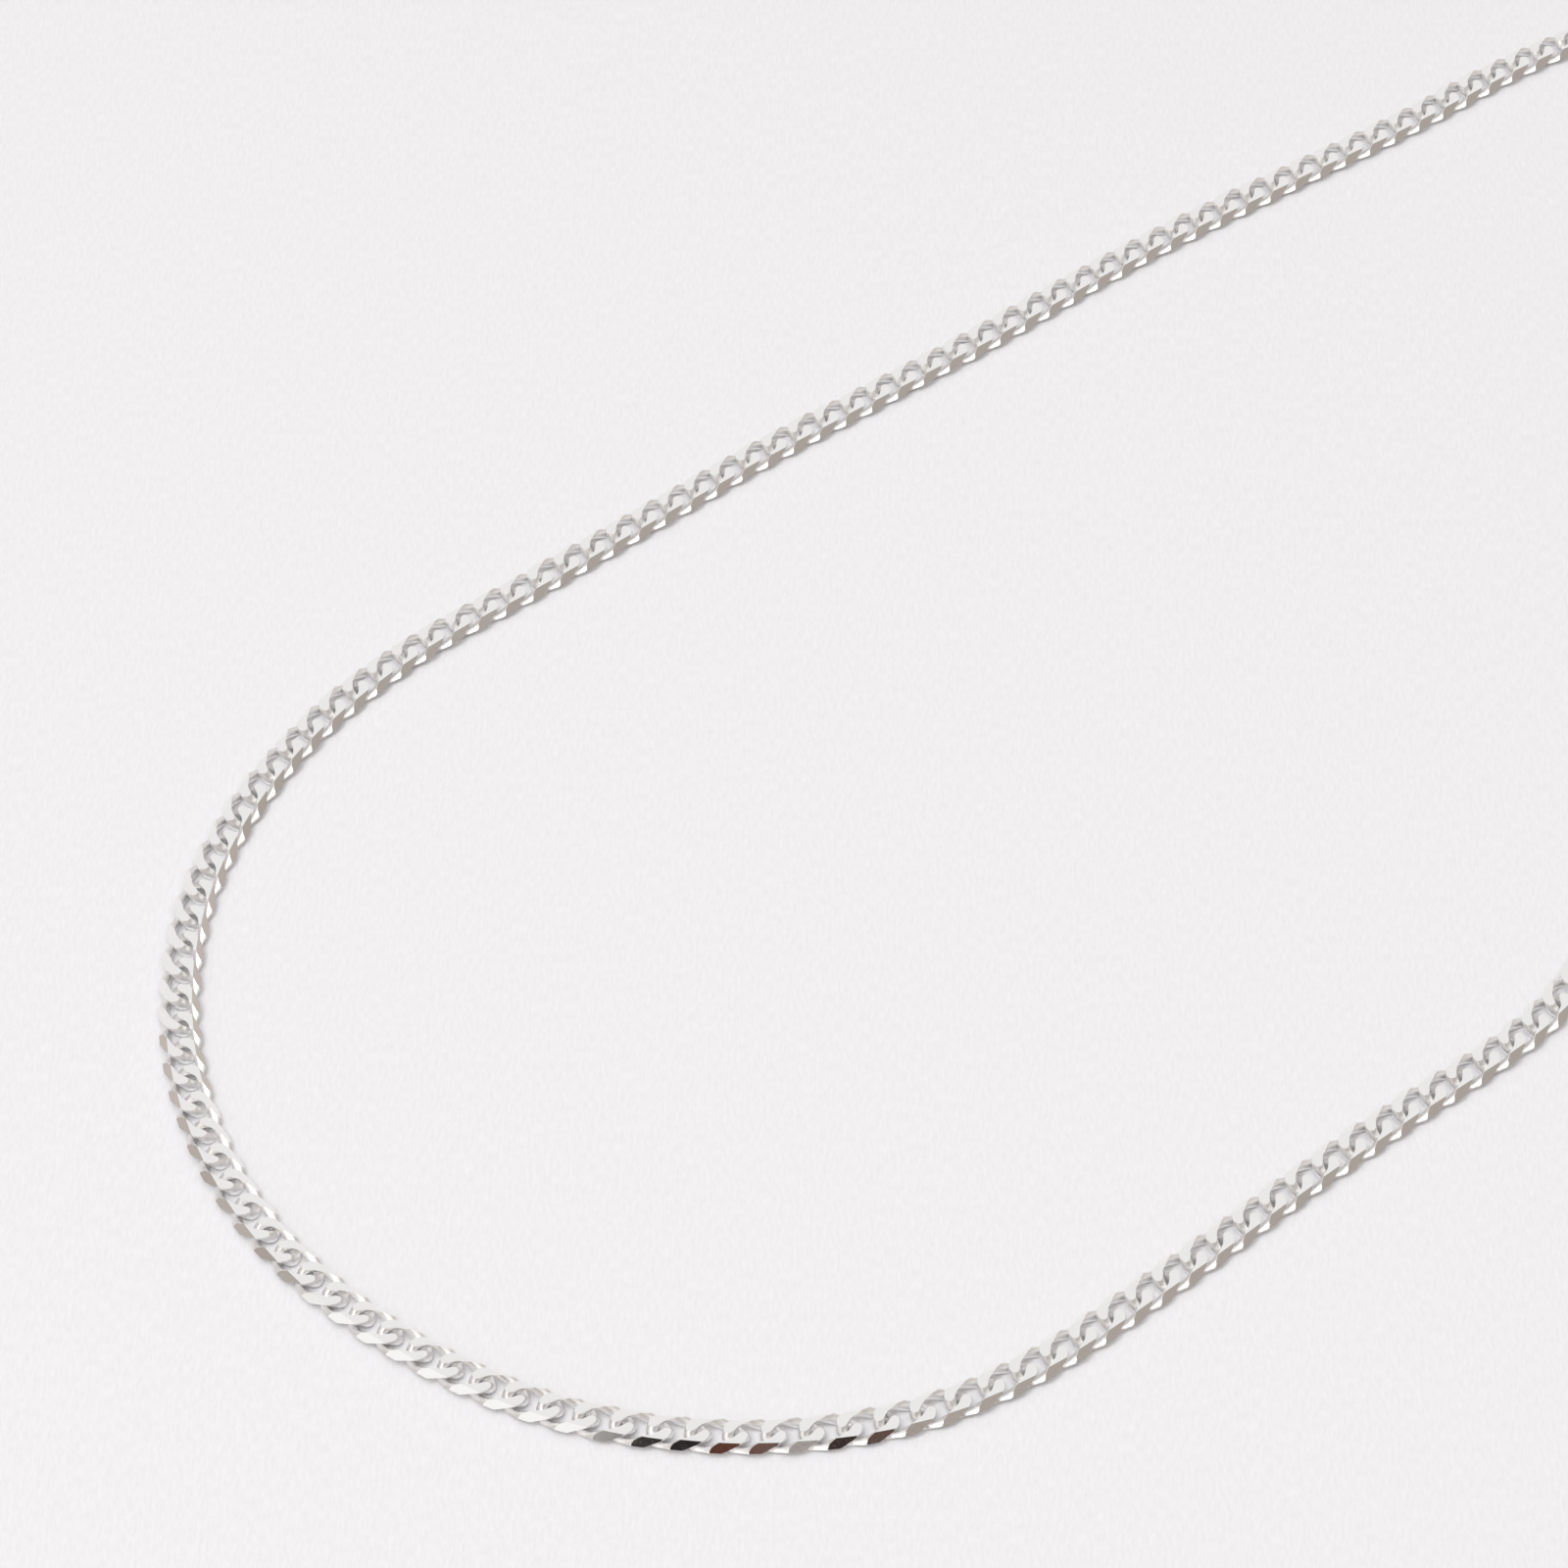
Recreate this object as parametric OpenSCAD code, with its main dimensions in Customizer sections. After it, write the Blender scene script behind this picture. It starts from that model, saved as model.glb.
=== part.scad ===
// Curb chain necklace: diamond-cut curb links of round wire in a closed loop, lying flat,
// with a plain cast clasp held between two jump rings.
// Millimetres. +Z is up, the surface that the necklace lies on is z = 0.

/* [Link] */
// Length of one link over its two ends
link_length = 4.8; // [4.6:0.05:5.2]
// Width of one link over its two sides
link_width = 3.35; // [3.25:0.05:3.6]
// Diameter of the round wire of a link
wire_d = 0.9; // [0.85:0.01:0.93]
// Twist of a link's tip out of the flat, in degrees
tip_twist = 54; // [50:1:55]
// How evenly the twist grows from a link's middle to its tips, 1 being even
twist_rise = 0.85; // [0.75:0.05:0.95]
// Play along the chain between the wires of two links
link_play = 0.24; // [0.18:0.01:0.3]

/* [Diamond cut] */
// Thickness of the chain over its top and bottom flats
cut_height = 1.05; // [1:0.05:1.4]
// Width across which the top and bottom are cut flat
flat_width = 1.95; // [1.7:0.05:2.2]
// Slope of the four bevels beside the flats, in degrees
bevel_slope = 42; // [36:1:46]

/* [Jump rings] */
// Outer diameter of a jump ring
ring_d = 4.2; // [4.1:0.1:4.5]
// Diameter of the wire of a jump ring
ring_wire = 0.65; // [0.5:0.05:0.7]
// Lean of a jump ring out of the flat, in degrees
ring_lean = 50; // [48:1:54]
// Gap between a jump ring and what it holds
ring_gap = 0.15; // [0.14:0.01:0.25]

/* [Clasp] */
// Diameter of the clasp's body
body_d = 5; // [4.6:0.1:5.4]
// Radius of the body's rounded edges
body_round = 0.8; // [0.4:0.1:1.2]
// Outer diameter of the hook's loop
hook_d = 5.6; // [5.4:0.1:6]
// Diameter of the bar of the hook's loop
hook_bar = 0.8; // [0.65:0.05:0.85]
// Open length of the hook's loop between its bar and the body
hook_open = 2.1; // [2:0.1:2.6]
// Outer diameter of the eye
eye_d = 4.1; // [4:0.1:4.4]
// Diameter of the bar of the eye
eye_bar = 0.7; // [0.6:0.05:0.75]
// Length of the neck between the body and the eye
neck_length = 0.2; // [0.1:0.1:1]
// Width of the neck
neck_d = 3; // [2.6:0.1:3.4]
// Height of the neck
neck_height = 2.2; // [1.8:0.1:2.6]

/* [Hidden] */
$fn = 48;

// The line that the chain lies along, seen from above, from the clasp round to the clasp again
route = [
    [14, 46], [7.5, 57.5], [1.5, 68.5], [-3, 76.5], [-9.5, 86], [-18.5, 91.5], [-28.5, 92],
    [-37, 87.5], [-42, 80], [-43.5, 70], [-43.5, 57], [-44, 45.5], [-44.5, 33], [-44.5, 23],
    [-44, 8.5], [-44, -2], [-44, -13.5], [-43.5, -25.5], [-43, -36.5], [-42.5, -50.5], [-40, -62],
    [-35, -72.5], [-28, -81], [-18, -88], [-6.5, -92], [5.5, -92.5], [18, -89.5], [28.5, -84],
    [37, -75.5], [42.5, -65.5], [44.5, -55], [44, -41], [43, -28], [42.5, -18], [42, -5], [39.5, 4],
    [34.5, 13.5], [30, 21], [22, 33.5]
];
curve_steps = 16;

// Angles round the oval of a link at which its wire has a section
stations = [0, 34, 76, 104, 146, 180, 214, 256, 284, 326];
sides = 5;
side_angle = 360 / sides;
// Length over which the chain's ends rise from the surface to the height of the rings
rise_run = 24;
// Keeps the tilted links of the rise off the surface
surface_gap = 0.01;

// Link: half lengths of the middle line of its wire
wire_r = wire_d / 2;
half_long = (link_length - wire_d) / 2;
half_wide = (link_width - wire_d) / 2;
pitch = link_length - 2 * wire_d - link_play;

// Clasp and rings, measured along the chain from the middle of the clasp
ring_r = (ring_d - ring_wire) / 2;
hole_r = ring_d / 2 - ring_wire;
hook_r = (hook_d - hook_bar) / 2;
eye_r = (eye_d - eye_bar) / 2;
mid_height = ring_r * sin(ring_lean) + ring_wire / 2 + surface_gap;
body_height = 2 * mid_height;
body_start = hook_bar + hook_open;
eye_start = body_start + body_d + neck_length;
clasp_length = eye_start + eye_d;
hook_at = clasp_length / 2 - hook_bar / 2;
eye_at = clasp_length / 2 - eye_bar / 2;
function ring_seat(bar) = hole_r - bar / 2 - ring_gap;
end_ring_at = hook_at + ring_seat(hook_bar);
jump_ring_at = eye_at + ring_seat(eye_bar);
tip_reach = half_long - pitch / 2;
hook_side = end_ring_at + ring_seat(wire_d) + tip_reach;
eye_side = jump_ring_at + ring_seat(wire_d) + tip_reach;

// Closed smooth curve through the points of the route
function blend(a, b, c, d, t) =
    0.5 * (2 * b + (c - a) * t + (2 * a - 5 * b + 4 * c - d) * t * t + (3 * b - a - 3 * c + d) * t * t * t);
function turn(i) = i % len(route);
curve = [
    for (i = [0:len(route) - 1], k = [0:curve_steps - 1])
        blend(route[turn(i + len(route) - 1)], route[i], route[turn(i + 1)], route[turn(i + 2)],
            k / curve_steps)
];
along_x = [for (p = curve) p.x];
along_y = [for (p = curve) p.y];
curve_middle = [max(along_x) + min(along_x), max(along_y) + min(along_y)] / 2;
closed_curve = [for (p = concat(curve, [curve[0]])) p - curve_middle];
reach = [
    for (i = 0, s = 0;
        i <= len(curve);
        s = s + norm(closed_curve[min(i + 1, len(curve))] - closed_curve[i]), i = i + 1) s
];
loop_length = reach[len(curve)];
curve_x = [for (i = [0:len(curve)]) [reach[i], closed_curve[i].x]];
curve_y = [for (i = [0:len(curve)]) [reach[i], closed_curve[i].y]];
function along(s) = [lookup(s, curve_x), lookup(s, curve_y)];

// Links: as many as fill the loop beside the clasp, closer than the pitch by a hair
chain_length = loop_length - hook_side - eye_side;
link_count = ceil(chain_length / pitch);
step = chain_length / link_count;
half_count = floor(link_count / 2);
function rise(s) =
    let (
        low = cut_height / 2 + surface_gap,
        t = min(1, min(s, chain_length - s) / rise_run)
    )
    low + (mid_height - low) * (1 - t * t * (3 - 2 * t));
function joint(i) = concat(along(eye_side + i * step), rise(i * step));

// Section of a link's wire: its middle, its outward and its upward direction
function tip_sign(a) = cos(a) < 0 ? -1 : 1;
function twisted(p) =
    let (t = -tip_twist * sign(p.x) * pow(abs(2 * p.x / link_length), twist_rise))
    [p.x, p.y * cos(t) - p.z * sin(t), p.y * sin(t) + p.z * cos(t)];
function oval(a, out, up) =
    [tip_sign(a) * (half_long - half_wide) + (half_wide + out) * cos(a), (half_wide + out) * sin(a), up];

// Both ends of the chord that a plane cuts from the wire, as angles from the outward direction,
// or undef where the plane misses the wire
function chord(a, level, normal) =
    let (
        middle = twisted(oval(a, 0, 0)),
        outward = twisted(oval(a, wire_r, 0)) - middle,
        upward = twisted(oval(a, 0, wire_r)) - middle,
        shares = [outward * normal, upward * normal] / wire_r,
        depth = (level - middle * normal) / (norm(shares) * wire_r),
        aim = atan2(shares.y, shares.x)
    )
    abs(depth) < 1 ? [aim - acos(depth), aim + acos(depth)] : undef;

// The raised half of the wire has its five corners at the ends of the flat and the bevel, and the
// sunk half has the same corners the other way up
function raised(a) = sin(2 * a) < -0.01;
function sunk(a) = sin(2 * a) > 0.01;
function corner_angles(a) =
    let (
        side = sin(a) < 0 ? -1 : 1,
        bevel_normal = [0, side * sin(bevel_slope), cos(bevel_slope)],
        bevel_level = bevel_normal * [0, side * flat_width / 2, cut_height / 2],
        bevel = chord(a, bevel_level, bevel_normal),
        flat = chord(a, cut_height / 2, [0, 0, 1]),
        first = is_undef(bevel) ? (is_undef(flat) ? 0 : flat[0]) : bevel[0],
        third = is_undef(flat) ? 2 * side_angle : flat[1],
        rest = (first + 360 - third) / 3
    )
    [first, side_angle, third, third + rest, third + 2 * rest];
plain_angles = [for (j = [0:sides - 1]) j * side_angle];
function section_angles(a) =
    raised(a) ? corner_angles(a)
    : sunk(a) ? let (c = corner_angles(-a)) [for (j = [0:sides - 1]) -c[(sides - j) % sides]]
    : plain_angles;

// Moves a corner of the wire inside the flats and bevels
function cut(p) =
    let (
        z = max(-cut_height / 2, min(cut_height / 2, p.z)),
        reach_y = flat_width / 2 + (cut_height / 2 - abs(z)) / tan(bevel_slope)
    )
    [p.x, max(-reach_y, min(reach_y, p.y)), z];
link_points = [
    for (a = stations, b = section_angles(a))
        cut(twisted(oval(a, wire_r * cos(b), wire_r * sin(b))))
];
link_faces = [
    for (i = [0:len(stations) - 1], j = [0:sides - 1], half = [0, 1])
        let (
            i2 = (i + 1) % len(stations),
            j2 = (j + 1) % sides,
            a = i * sides + j,
            c = i2 * sides + j2
        )
        half == 0 ? [a, c, i2 * sides + j] : [a, i * sides + j2, c]
];

// A link's points at its own place between two joints of the chain
function placed(i) =
    let (
        start = joint(i),
        end = joint(i + 1),
        x_dir = (end - start) / norm(end - start),
        y_dir = [-x_dir.y, x_dir.x, 0] / norm([x_dir.x, x_dir.y]),
        z_dir = cross(x_dir, y_dir)
    )
    [for (p = link_points) (start + end) / 2 + p.x * x_dir + p.y * y_dir + p.z * z_dir];

module links(first, last) {
    polyhedron(
        points = [for (i = [first:last], p = placed(i)) p],
        faces = [for (i = [first:last], f = link_faces) [for (k = f) k + (i - first) * len(link_points)]]
    );
}

// Frame of the clasp: along +X from the hook to the eye, on the surface
module at_clasp() {
    hook_end = along(loop_length - hook_side);
    eye_end = along(eye_side);
    run = eye_end - hook_end;
    middle = hook_end + run * hook_side / (hook_side + eye_side);
    translate([middle.x, middle.y, 0]) rotate([0, 0, atan2(run.y, run.x)]) children();
}

module hoop(middle_r, bar) {
    rotate_extrude() translate([middle_r, 0]) circle(d = bar);
}

module drum(d, h, round_r) {
    rotate_extrude() {
        square([d / 2 - round_r, h]);
        translate([0, round_r]) square([d / 2, h - 2 * round_r]);
        for (z = [round_r, h - round_r]) translate([d / 2 - round_r, z]) circle(round_r);
    }
}

module chain_left() {
    color("silver") links(0, half_count - 1);
}

module chain_right() {
    color("gainsboro") links(half_count, link_count - 1);
}

module clasp() {
    neck_middle = eye_start + eye_bar - neck_d / 2;
    color("lightgray") at_clasp() translate([-clasp_length / 2, 0, 0]) {
        translate([hook_d / 2, 0, mid_height]) hoop(hook_r, hook_bar);
        translate([body_start + body_d / 2, 0, 0]) drum(body_d, body_height, body_round);
        translate([neck_middle, 0, mid_height - neck_height / 2]) drum(neck_d, neck_height, neck_height / 4);
        translate([eye_start + eye_d / 2, 0, mid_height]) hoop(eye_r, eye_bar);
    }
}

module jump_ring() {
    color("darkgray") at_clasp() translate([jump_ring_at, 0, mid_height]) rotate([-ring_lean, 0, 0])
        hoop(ring_r, ring_wire);
}

module end_ring() {
    color("darkgray") at_clasp() translate([-end_ring_at, 0, mid_height]) rotate([ring_lean, 0, 0])
        hoop(ring_r, ring_wire);
}

chain_left();
chain_right();
clasp();
jump_ring();
end_ring();
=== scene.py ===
import math
import random

import bmesh
import bpy
import numpy as np
from mathutils import Matrix, Vector


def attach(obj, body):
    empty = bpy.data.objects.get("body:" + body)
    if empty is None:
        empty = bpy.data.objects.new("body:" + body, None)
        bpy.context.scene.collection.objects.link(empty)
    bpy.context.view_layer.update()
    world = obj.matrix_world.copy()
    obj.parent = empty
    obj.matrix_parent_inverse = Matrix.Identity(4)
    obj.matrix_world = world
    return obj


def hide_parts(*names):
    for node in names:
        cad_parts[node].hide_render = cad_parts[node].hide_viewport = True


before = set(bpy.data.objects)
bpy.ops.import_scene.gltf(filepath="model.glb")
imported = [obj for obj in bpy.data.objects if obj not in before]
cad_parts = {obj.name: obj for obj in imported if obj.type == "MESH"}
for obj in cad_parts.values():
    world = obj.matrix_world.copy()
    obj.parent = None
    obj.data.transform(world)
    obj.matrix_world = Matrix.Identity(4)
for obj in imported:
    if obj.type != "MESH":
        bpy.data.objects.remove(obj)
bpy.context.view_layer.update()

MM = 0.001

# Camera: height over the surface, place over it and direction, from the photo's perspective
EYE = Vector((250.6, -232.9, 353.4)) * MM
EYE_HEADING = 53.0
EYE_DEPRESSION = 46.94
LENS = 140.0
SENSOR = 36.0

# Link of fine round wire, half a millimetre broader than the coarse links of the solids
LINK_LENGTH = 4.8 * MM
LINK_WIDTH = 3.48 * MM
WIRE_D = 0.92 * MM
TIP_TWIST = 52.0
TWIST_RISE = 0.85
CUT_HEIGHT = 1.05 * MM
FLAT_WIDTH = 2.08 * MM
BEVEL_SLOPE = 42.0
WIRE_SIDES = 12
END_STEPS = 10
SIDE_STEPS = 2
# Corners closer than this are one
SAME_CORNER = 0.001 * MM
# A face belongs to a cut when it faces the same way and lies on its plane
SAME_WAY = 0.9999
ON_PLANE = 1e-7
# Loose links lie a little rolled about the chain and tipped along it, in degrees, and the whole
# chain sways a little from side to side over a run of links
LINK_ROLL = 1.8
LINK_TIP = 0.5
SWAY = 1.6
SWAY_LINKS = 9.0
# A rolled link is lifted so far that it stays this clear of the paper
PAPER_GAP = 0.004 * MM

# The clasp and rings are smooth over edges that turn less than this, in degrees, and their corners
# closer than the second size are one
FITTING_CREASE = 28.0
FITTING_CORNER = 0.0005 * MM

# Silver: waves left by polishing and fine duller specks, in rounds a metre
POLISH_SCALE = 260.0
SPECK_SCALE = 9000.0
POLISH_DEPTH = 0.02 * MM
# Paper: its fibres in rounds a metre, how they are drawn out, their depth and two tones
FIBRE_SCALE = 1000.0
FIBRE_STRETCH = (0.25, 1.0, 1.0)
FIBRE_DEPTH = 0.05 * MM
PAPER_TONES = ((0.779, 0.777, 0.801, 1.0), (0.841, 0.838, 0.863, 1.0))

FLOOR_RADIUS = 3.0
# Where the window's light comes from, as the camera sees the table: right, away, up
WINDOW_WAY = (-0.38, -0.36, 0.85)
WINDOW_FAR = 1.1
WINDOW_SIZE = 0.55
WINDOW_POWER = 3.05
# Tones of the room from the table's edge upwards
ROOM_TONES = (
    (0.2, (0.55, 0.495, 0.46, 1.0)),
    (0.38, (0.41, 0.37, 0.335, 1.0)),
)
# Bright screens round the table: the way to the middle of each, how far from it the screen is full
# and where it ends, in degrees, and its tone
SCREENS = (
    ((0.0, 0.2, 0.98), 42.0, 50.0, (0.86, 0.855, 0.85, 1.0)),
    ((-0.62, -0.5, 0.6), 22.0, 32.0, (0.97, 0.965, 0.955, 1.0)),
    ((0.0, -0.1, 1.0), 14.0, 26.0, (2.2, 2.19, 2.17, 1.0)),
)
# Front of the camera in the mirror of the bevels: half width and half height, its place from the
# lens, and its tones from its left to its right
FRONT_HALF = (0.24, 0.13)
FRONT_PLACE = (0.0, -0.07, -0.04)
FRONT_TONES = (
    (0.1, (0.8, 0.78, 0.76, 1.0)),
    (0.16, (0.12, 0.11, 0.1, 1.0)),
    (0.27, (0.012, 0.01, 0.01, 1.0)),
    (0.36, (0.014, 0.01, 0.01, 1.0)),
    (0.43, (0.2, 0.06, 0.035, 1.0)),
    (0.54, (0.16, 0.135, 0.12, 1.0)),
    (0.64, (0.5, 0.47, 0.45, 1.0)),
    (0.71, (0.03, 0.015, 0.012, 1.0)),
    (0.78, (0.04, 0.02, 0.015, 1.0)),
    (0.86, (0.14, 0.09, 0.07, 1.0)),
    (0.94, (0.34, 0.3, 0.27, 1.0)),
)


# Camera

def add_camera():
    data = bpy.data.cameras.new("camera")
    data.sensor_width = SENSOR
    data.lens = LENS
    data.clip_start = 0.01
    data.clip_end = 20.0
    camera = bpy.data.objects.new("camera", data)
    camera.location = EYE
    camera.rotation_euler = (math.radians(90 - EYE_DEPRESSION), 0, math.radians(EYE_HEADING))
    bpy.context.collection.objects.link(camera)
    bpy.context.scene.camera = camera


# Shader maths

class Socket:
    """A value in a node tree, with the operators that the materials use."""

    def __init__(self, shader, socket):
        self.shader = shader
        self.socket = socket

    def math(self, operation, *values):
        return self.shader.node("ShaderNodeMath", {"operation": operation}, *values)

    def __add__(self, other):
        return self.math("ADD", self, other)

    def __radd__(self, other):
        return self.math("ADD", other, self)

    def __sub__(self, other):
        return self.math("SUBTRACT", self, other)

    def __rsub__(self, other):
        return self.math("SUBTRACT", other, self)

    def __rmul__(self, other):
        return self.math("MULTIPLY", other, self)


class Nodes:
    """A node tree, with one method that adds any node."""

    def __init__(self, tree):
        self.tree = tree

    def node(self, kind, settings, *values, out=0):
        made = self.tree.nodes.new(kind)
        for key, value in settings.items():
            if key == "stops":
                self.set_stops(made, value)
            else:
                setattr(made, key, value)
        for at, value in enumerate(values):
            self.feed(made.inputs[at], value)
        return Socket(self, made.outputs[out])

    def mix(self, share, first, second):
        """A blend of two colours."""
        made = self.tree.nodes.new("ShaderNodeMix")
        made.data_type = "RGBA"
        for at, value in ((0, share), (6, first), (7, second)):
            self.feed(made.inputs[at], value)
        return Socket(self, made.outputs[2])

    def set_stops(self, ramp, stops):
        elements = ramp.color_ramp.elements
        while len(elements) < len(stops):
            elements.new(1.0)
        for element, (place, colour) in zip(elements, stops):
            element.position = place
            element.color = colour

    def feed(self, target, value):
        if value is None:
            return
        if isinstance(value, Socket):
            self.tree.links.new(value.socket, target)
        else:
            target.default_value = value


class Shader(Nodes):
    """A material's node tree around one Principled shader."""

    def __init__(self, name):
        self.material = bpy.data.materials.new(name)
        self.material.use_nodes = True
        super().__init__(self.material.node_tree)
        self.surface = self.tree.nodes["Principled BSDF"]

    def put(self, **values):
        for name, value in values.items():
            self.feed(self.surface.inputs[name.replace("_", " ")], value)

    def place(self):
        return self.node("ShaderNodeTexCoord", {}, out=3)

    def noise(self, scale, detail=2.0, roughness=0.5, at=None):
        place = at or self.place()
        return self.node("ShaderNodeTexNoise", {}, place, None, scale, detail, roughness)

    def bump(self, height, strength, distance):
        return self.node("ShaderNodeBump", {}, strength, distance, None, height)


# Materials

def polished_silver(name, tint, roughness, wave, speck):
    """Bright silver with the faint unevenness of polishing and fine duller specks."""
    shader = Shader(name)
    soft = shader.noise(POLISH_SCALE, 2.0)
    fine = shader.noise(SPECK_SCALE, 3.0, 0.6)
    specks = shader.node("ShaderNodeMapRange", {}, fine, 0.56, 0.68, 0.0, speck)
    shader.put(Base_Color=(*tint, 1.0), Metallic=1.0)
    shader.put(Roughness=roughness + 0.05 * (fine - 0.5) + specks)
    shader.put(Normal=shader.bump(soft, wave, POLISH_DEPTH))
    return shader.material


def paper():
    """Heavy matt paper, its fine fibres running away from the camera."""
    shader = Shader("paper")
    heading = (0.0, 0.0, math.radians(EYE_HEADING))
    turned = shader.node(
        "ShaderNodeMapping", {"vector_type": "TEXTURE"}, shader.place(), None, heading, FIBRE_STRETCH,
    )
    fibres = shader.noise(FIBRE_SCALE, 3.0, 0.6, turned)
    tone = shader.node("ShaderNodeMapRange", {}, fibres, 0.3, 0.7, 0.0, 1.0)
    shader.put(Base_Color=shader.mix(tone, *PAPER_TONES))
    shader.put(Roughness=0.85, Normal=shader.bump(fibres, 0.4, FIBRE_DEPTH))
    return shader.material


# Chain

def round_end(bm, section, centre_x):
    """Spins the section half a turn round the middle of a link's end and gives the new section."""
    made = bmesh.ops.spin(
        bm, geom=section, cent=(centre_x, 0, 0), axis=(0, 0, 1), angle=math.pi,
        steps=END_STEPS, use_duplicate=False,
    )
    return made["geom_last"]


def straight_side(bm, section, run):
    """Draws the section out along X in equal steps and gives the new section."""
    for _ in range(SIDE_STEPS):
        edges = [item for item in section if isinstance(item, bmesh.types.BMEdge)]
        made = bmesh.ops.extrude_edge_only(bm, edges=edges)
        section = made["geom"]
        verts = [item for item in section if isinstance(item, bmesh.types.BMVert)]
        bmesh.ops.translate(bm, verts=verts, vec=(run / SIDE_STEPS, 0, 0))
        section = [item for item in section if not isinstance(item, bmesh.types.BMFace)]
    return section


def cut_planes():
    """The six planes of the diamond cut, each a point on it and its outward direction."""
    slope = math.radians(BEVEL_SLOPE)
    planes = []
    for up in (1, -1):
        planes.append((Vector((0, 0, up * CUT_HEIGHT / 2)), Vector((0, 0, up))))
        for out in (1, -1):
            edge = Vector((0, out * FLAT_WIDTH / 2, up * CUT_HEIGHT / 2))
            planes.append((edge, Vector((0, out * math.sin(slope), up * math.cos(slope)))))
    return planes


def cut_flat(bm, point, normal):
    """Cuts off what lies beyond a plane and closes the cut."""
    geometry = bm.verts[:] + bm.edges[:] + bm.faces[:]
    made = bmesh.ops.bisect_plane(bm, geom=geometry, plane_co=point, plane_no=normal, clear_outer=True)
    edges = [item for item in made["geom_cut"] if isinstance(item, bmesh.types.BMEdge)]
    bmesh.ops.triangle_fill(bm, edges=edges, use_beauty=True, use_dissolve=True)


def cut_of(face, planes):
    """Which plane a face was cut by, or none for the round wire."""
    for number, (point, normal) in enumerate(planes):
        height = (face.calc_center_median() - point).dot(normal)
        if face.normal.dot(normal) > SAME_WAY and abs(height) < ON_PLANE:
            return number
    return None


def twist(bm):
    """Turns the wire out of the flat, more and more from the link's middle to its tips."""
    for vert in bm.verts:
        share = 2 * vert.co.x / LINK_LENGTH
        angle = -math.radians(TIP_TWIST) * math.copysign(abs(share) ** TWIST_RISE, share)
        vert.co = Matrix.Rotation(angle, 3, "X") @ vert.co


def link_mesh():
    """One curb link about the origin, along X: an oval of round wire, twisted, then cut flat."""
    half_long = (LINK_LENGTH - WIRE_D) / 2
    half_wide = (LINK_WIDTH - WIRE_D) / 2
    side = half_long - half_wide
    bm = bmesh.new()
    turn = Matrix.Rotation(math.pi / 2, 4, "Y")
    start = Matrix.Translation((side, -half_wide, 0)) @ turn
    bmesh.ops.create_circle(bm, segments=WIRE_SIDES, radius=WIRE_D / 2, matrix=start)
    section = round_end(bm, bm.verts[:] + bm.edges[:], side)
    section = straight_side(bm, section, -2 * side)
    section = round_end(bm, section, -side)
    straight_side(bm, section, 2 * side)
    bmesh.ops.remove_doubles(bm, verts=bm.verts, dist=SAME_CORNER)
    twist(bm)
    planes = cut_planes()
    for point, normal in planes:
        cut_flat(bm, point, normal)
    bmesh.ops.recalc_face_normals(bm, faces=bm.faces)
    for face in bm.faces:
        face.smooth = True
        face.material_index = 0 if cut_of(face, planes) is None else 1
    for edge in bm.edges:
        edge.smooth = len({cut_of(face, planes) for face in edge.link_faces}) == 1
    mesh = bpy.data.meshes.new("link")
    bm.to_mesh(mesh)
    bm.free()
    return mesh


def islands(bm):
    """The separate solids of a mesh, each a list of its corners, in the order they were made."""
    seen = set()
    for first in bm.verts:
        if first in seen:
            continue
        seen.add(first)
        island = [first]
        for vert in island:
            for edge in vert.link_edges:
                other = edge.other_vert(vert)
                if other not in seen:
                    seen.add(other)
                    island.append(other)
        yield np.array([vert.co for vert in island])


def link_places(node):
    """Where each link of a chain node lies: along the chain, across it and up, and its middle."""
    bm = bmesh.new()
    bm.from_mesh(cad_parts[node].data)
    bmesh.ops.remove_doubles(bm, verts=bm.verts, dist=SAME_CORNER)
    links = list(islands(bm))
    bm.free()
    middles = [points.mean(axis=0) for points in links]
    places = []
    for number, points in enumerate(links):
        spread, directions = np.linalg.eigh(np.cov((points - middles[number]).T))
        behind = max(number - 1, 0)
        ahead = min(number + 1, len(links) - 1)
        along, up = directions[:, 2], directions[:, 0]
        along = Vector(along * np.sign(along @ (middles[ahead] - middles[behind])))
        up = Vector(up * np.sign(up[2]))
        place = Matrix.Identity(4)
        for column, direction in enumerate((along, up.cross(along), up, Vector(middles[number]))):
            place.col[column][:3] = direction
        places.append(place)
    return places


def chain_piece(node, link, silvers):
    """All links of a chain node in one mesh, each a little loose in its place."""
    loose = random.Random(node)
    bm = bmesh.new()
    for number, place in enumerate(link_places(node)):
        roll = SWAY * math.sin(2 * math.pi * number / SWAY_LINKS) + loose.uniform(-LINK_ROLL, LINK_ROLL)
        roll = Matrix.Rotation(math.radians(roll), 4, "X")
        tip = Matrix.Rotation(math.radians(loose.uniform(-LINK_TIP, LINK_TIP)), 4, "Y")
        copy = link.copy()
        copy.transform(place @ roll @ tip)
        lowest = min(vert.co.z for vert in copy.vertices)
        copy.transform(Matrix.Translation((0, 0, max(0, PAPER_GAP - lowest))))
        bm.from_mesh(copy)
        bpy.data.meshes.remove(copy)
    finished_piece(node + "_links", bm, silvers, node)


# Clasp and rings

def fitting_piece(node, silver):
    """A merged, smoothly shaded copy of a fitting."""
    bm = bmesh.new()
    bm.from_mesh(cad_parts[node].data)
    bmesh.ops.remove_doubles(bm, verts=bm.verts, dist=FITTING_CORNER)
    for face in bm.faces:
        face.smooth = True
    for edge in bm.edges:
        edge.smooth = edge.calc_face_angle(0) < math.radians(FITTING_CREASE)
    finished_piece(node + "_finish", bm, [silver], node)


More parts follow.
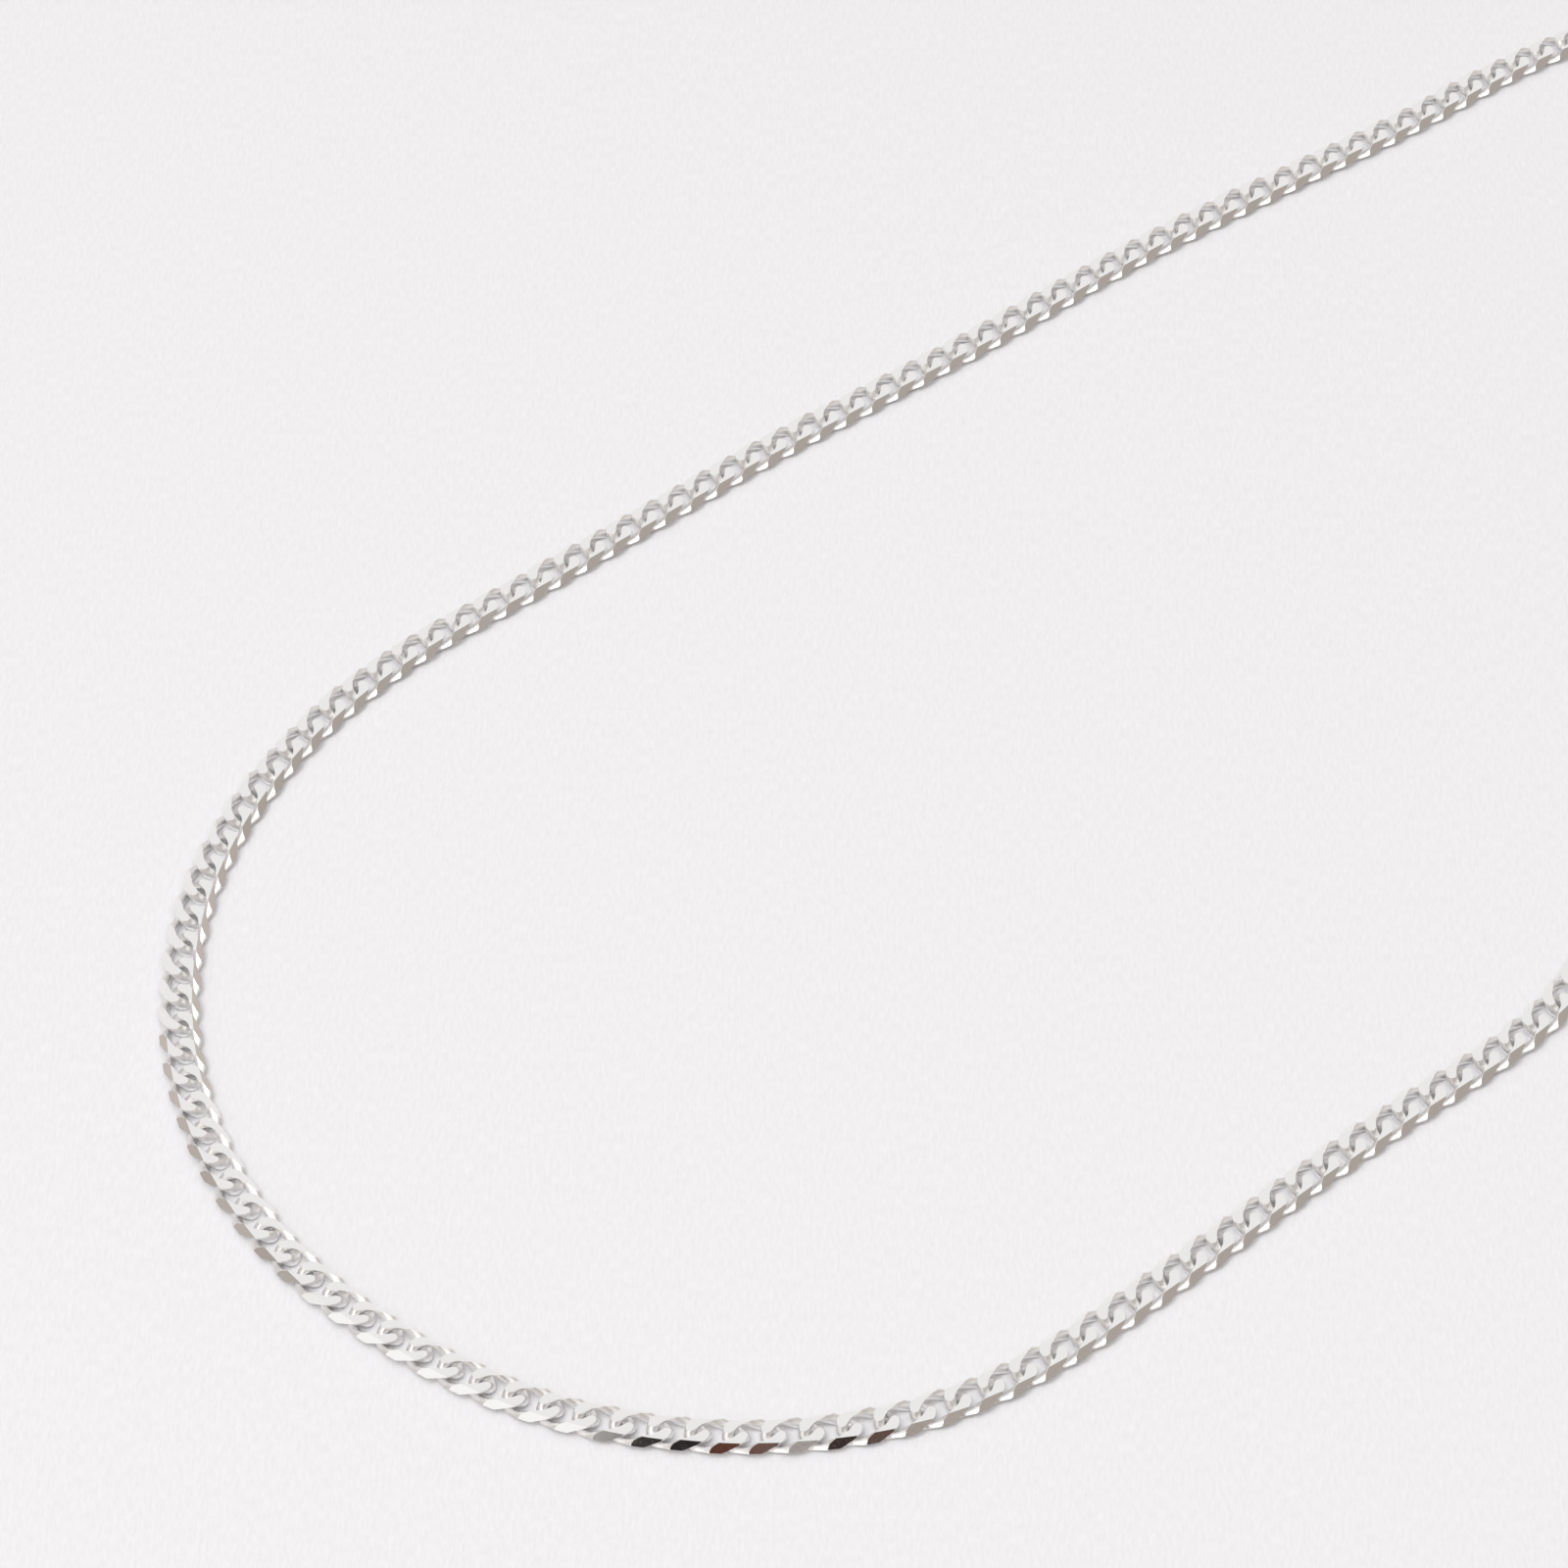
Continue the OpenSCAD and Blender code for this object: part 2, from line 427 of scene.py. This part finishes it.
def finished_piece(name, bm, materials, node):
    """Makes the mesh a piece that stands for a node."""
    mesh = bpy.data.meshes.new(name)
    bm.to_mesh(mesh)
    bm.free()
    for material in materials:
        mesh.materials.append(material)
    piece = bpy.data.objects.new(name, mesh)
    bpy.context.collection.objects.link(piece)
    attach(piece, "root")
    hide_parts(node)


# Studio

def add_floor():
    """A wide round sheet of the paper."""
    bm = bmesh.new()
    bmesh.ops.create_circle(bm, cap_ends=True, segments=64, radius=FLOOR_RADIUS)
    mesh = bpy.data.meshes.new("floor")
    bm.to_mesh(mesh)
    bm.free()
    mesh.materials.append(paper())
    floor = bpy.data.objects.new("floor", mesh)
    bpy.context.collection.objects.link(floor)


def dull_front():
    """Black, brown and grey from left to right, fading away at its edge."""
    shader = Shader("dull_front")
    half_x, half_y = FRONT_HALF
    share = shader.node(
        "ShaderNodeVectorMath", {"operation": "MULTIPLY"}, shader.place(), (1 / half_x, 1 / half_y, 0),
    )
    out = shader.node("ShaderNodeVectorMath", {"operation": "LENGTH"}, share, out=1)
    right = shader.node("ShaderNodeSeparateXYZ", {}, share, out=0)
    uneven = 0.5 - 0.5 * right + 0.12 * (shader.noise(16.0, 1.0) - 0.5)
    shader.put(Base_Color=shader.node("ShaderNodeValToRGB", {"stops": FRONT_TONES}, uneven))
    shader.put(Roughness=1.0, Alpha=shader.node("ShaderNodeMapRange", {}, out, 0.85, 1.0, 1.0, 0.0))
    return shader.material


def add_camera_front():
    """A card at the camera that only shows in reflections."""
    bm = bmesh.new()
    bmesh.ops.create_grid(bm, x_segments=1, y_segments=1, size=1.0)
    bmesh.ops.scale(bm, vec=(*FRONT_HALF, 1), verts=bm.verts)
    mesh = bpy.data.meshes.new("camera_front")
    bm.to_mesh(mesh)
    bm.free()
    mesh.materials.append(dull_front())
    card = bpy.data.objects.new("camera_front", mesh)
    card.location = EYE + across(*FRONT_PLACE)
    card.rotation_euler = card.location.to_track_quat("-Z", "Y").to_euler()
    card.visible_camera = False
    card.visible_diffuse = False
    card.visible_shadow = False
    bpy.context.collection.objects.link(card)


def add_window():
    """A round window that lights the table from high up on the near left."""
    data = bpy.data.lights.new("window", "AREA")
    data.shape = "DISK"
    data.size = WINDOW_SIZE
    data.energy = WINDOW_POWER
    lamp = bpy.data.objects.new("window", data)
    lamp.location = across(*WINDOW_WAY).normalized() * WINDOW_FAR
    lamp.rotation_euler = lamp.location.to_track_quat("Z", "Y").to_euler()
    bpy.context.collection.objects.link(lamp)


def add_room():
    """A dull room with bright screens over the table and to the near left."""
    world = bpy.data.worlds.new("room")
    world.use_nodes = True
    room = Nodes(world.node_tree)
    way = room.node("ShaderNodeTexCoord", {})
    height = room.node("ShaderNodeSeparateXYZ", {}, way, out=2)
    tone = room.node("ShaderNodeValToRGB", {"stops": ROOM_TONES}, height)
    for middle, full, end, bright in SCREENS:
        towards = tuple(across(*middle).normalized())
        facing = room.node("ShaderNodeVectorMath", {"operation": "DOT_PRODUCT"}, way, towards, out=1)
        edges = [math.cos(math.radians(angle)) for angle in (end, full)]
        share = room.node("ShaderNodeMapRange", {"interpolation_type": "SMOOTHSTEP"}, facing, *edges)
        tone = room.mix(share, tone, bright)
    room.feed(world.node_tree.nodes["Background"].inputs["Color"], tone)
    bpy.context.scene.world = world


def across(right, away, up):
    """A point given as the camera sees the table: to the right, away from it and up, in metres."""
    heading = math.radians(EYE_HEADING)
    return Vector((
        right * math.cos(heading) - away * math.sin(heading),
        right * math.sin(heading) + away * math.cos(heading),
        up,
    ))


add_camera()
wire_silver = polished_silver("wire_silver", (0.985, 0.98, 0.972), roughness=0.38, wave=0.12, speck=0.1)
cut_silver = polished_silver("cut_silver", (0.95, 0.945, 0.935), roughness=0.05, wave=0.12, speck=0.17)
cast_silver = polished_silver("cast_silver", (0.95, 0.945, 0.935), roughness=0.12, wave=0.15, speck=0.1)
link = link_mesh()
for node in ("chain_left", "chain_right"):
    chain_piece(node, link, (wire_silver, cut_silver))
for node in ("clasp", "jump_ring", "end_ring"):
    fitting_piece(node, cast_silver)
add_floor()
add_camera_front()
add_window()
add_room()
bpy.context.scene.view_settings.view_transform = "Standard"
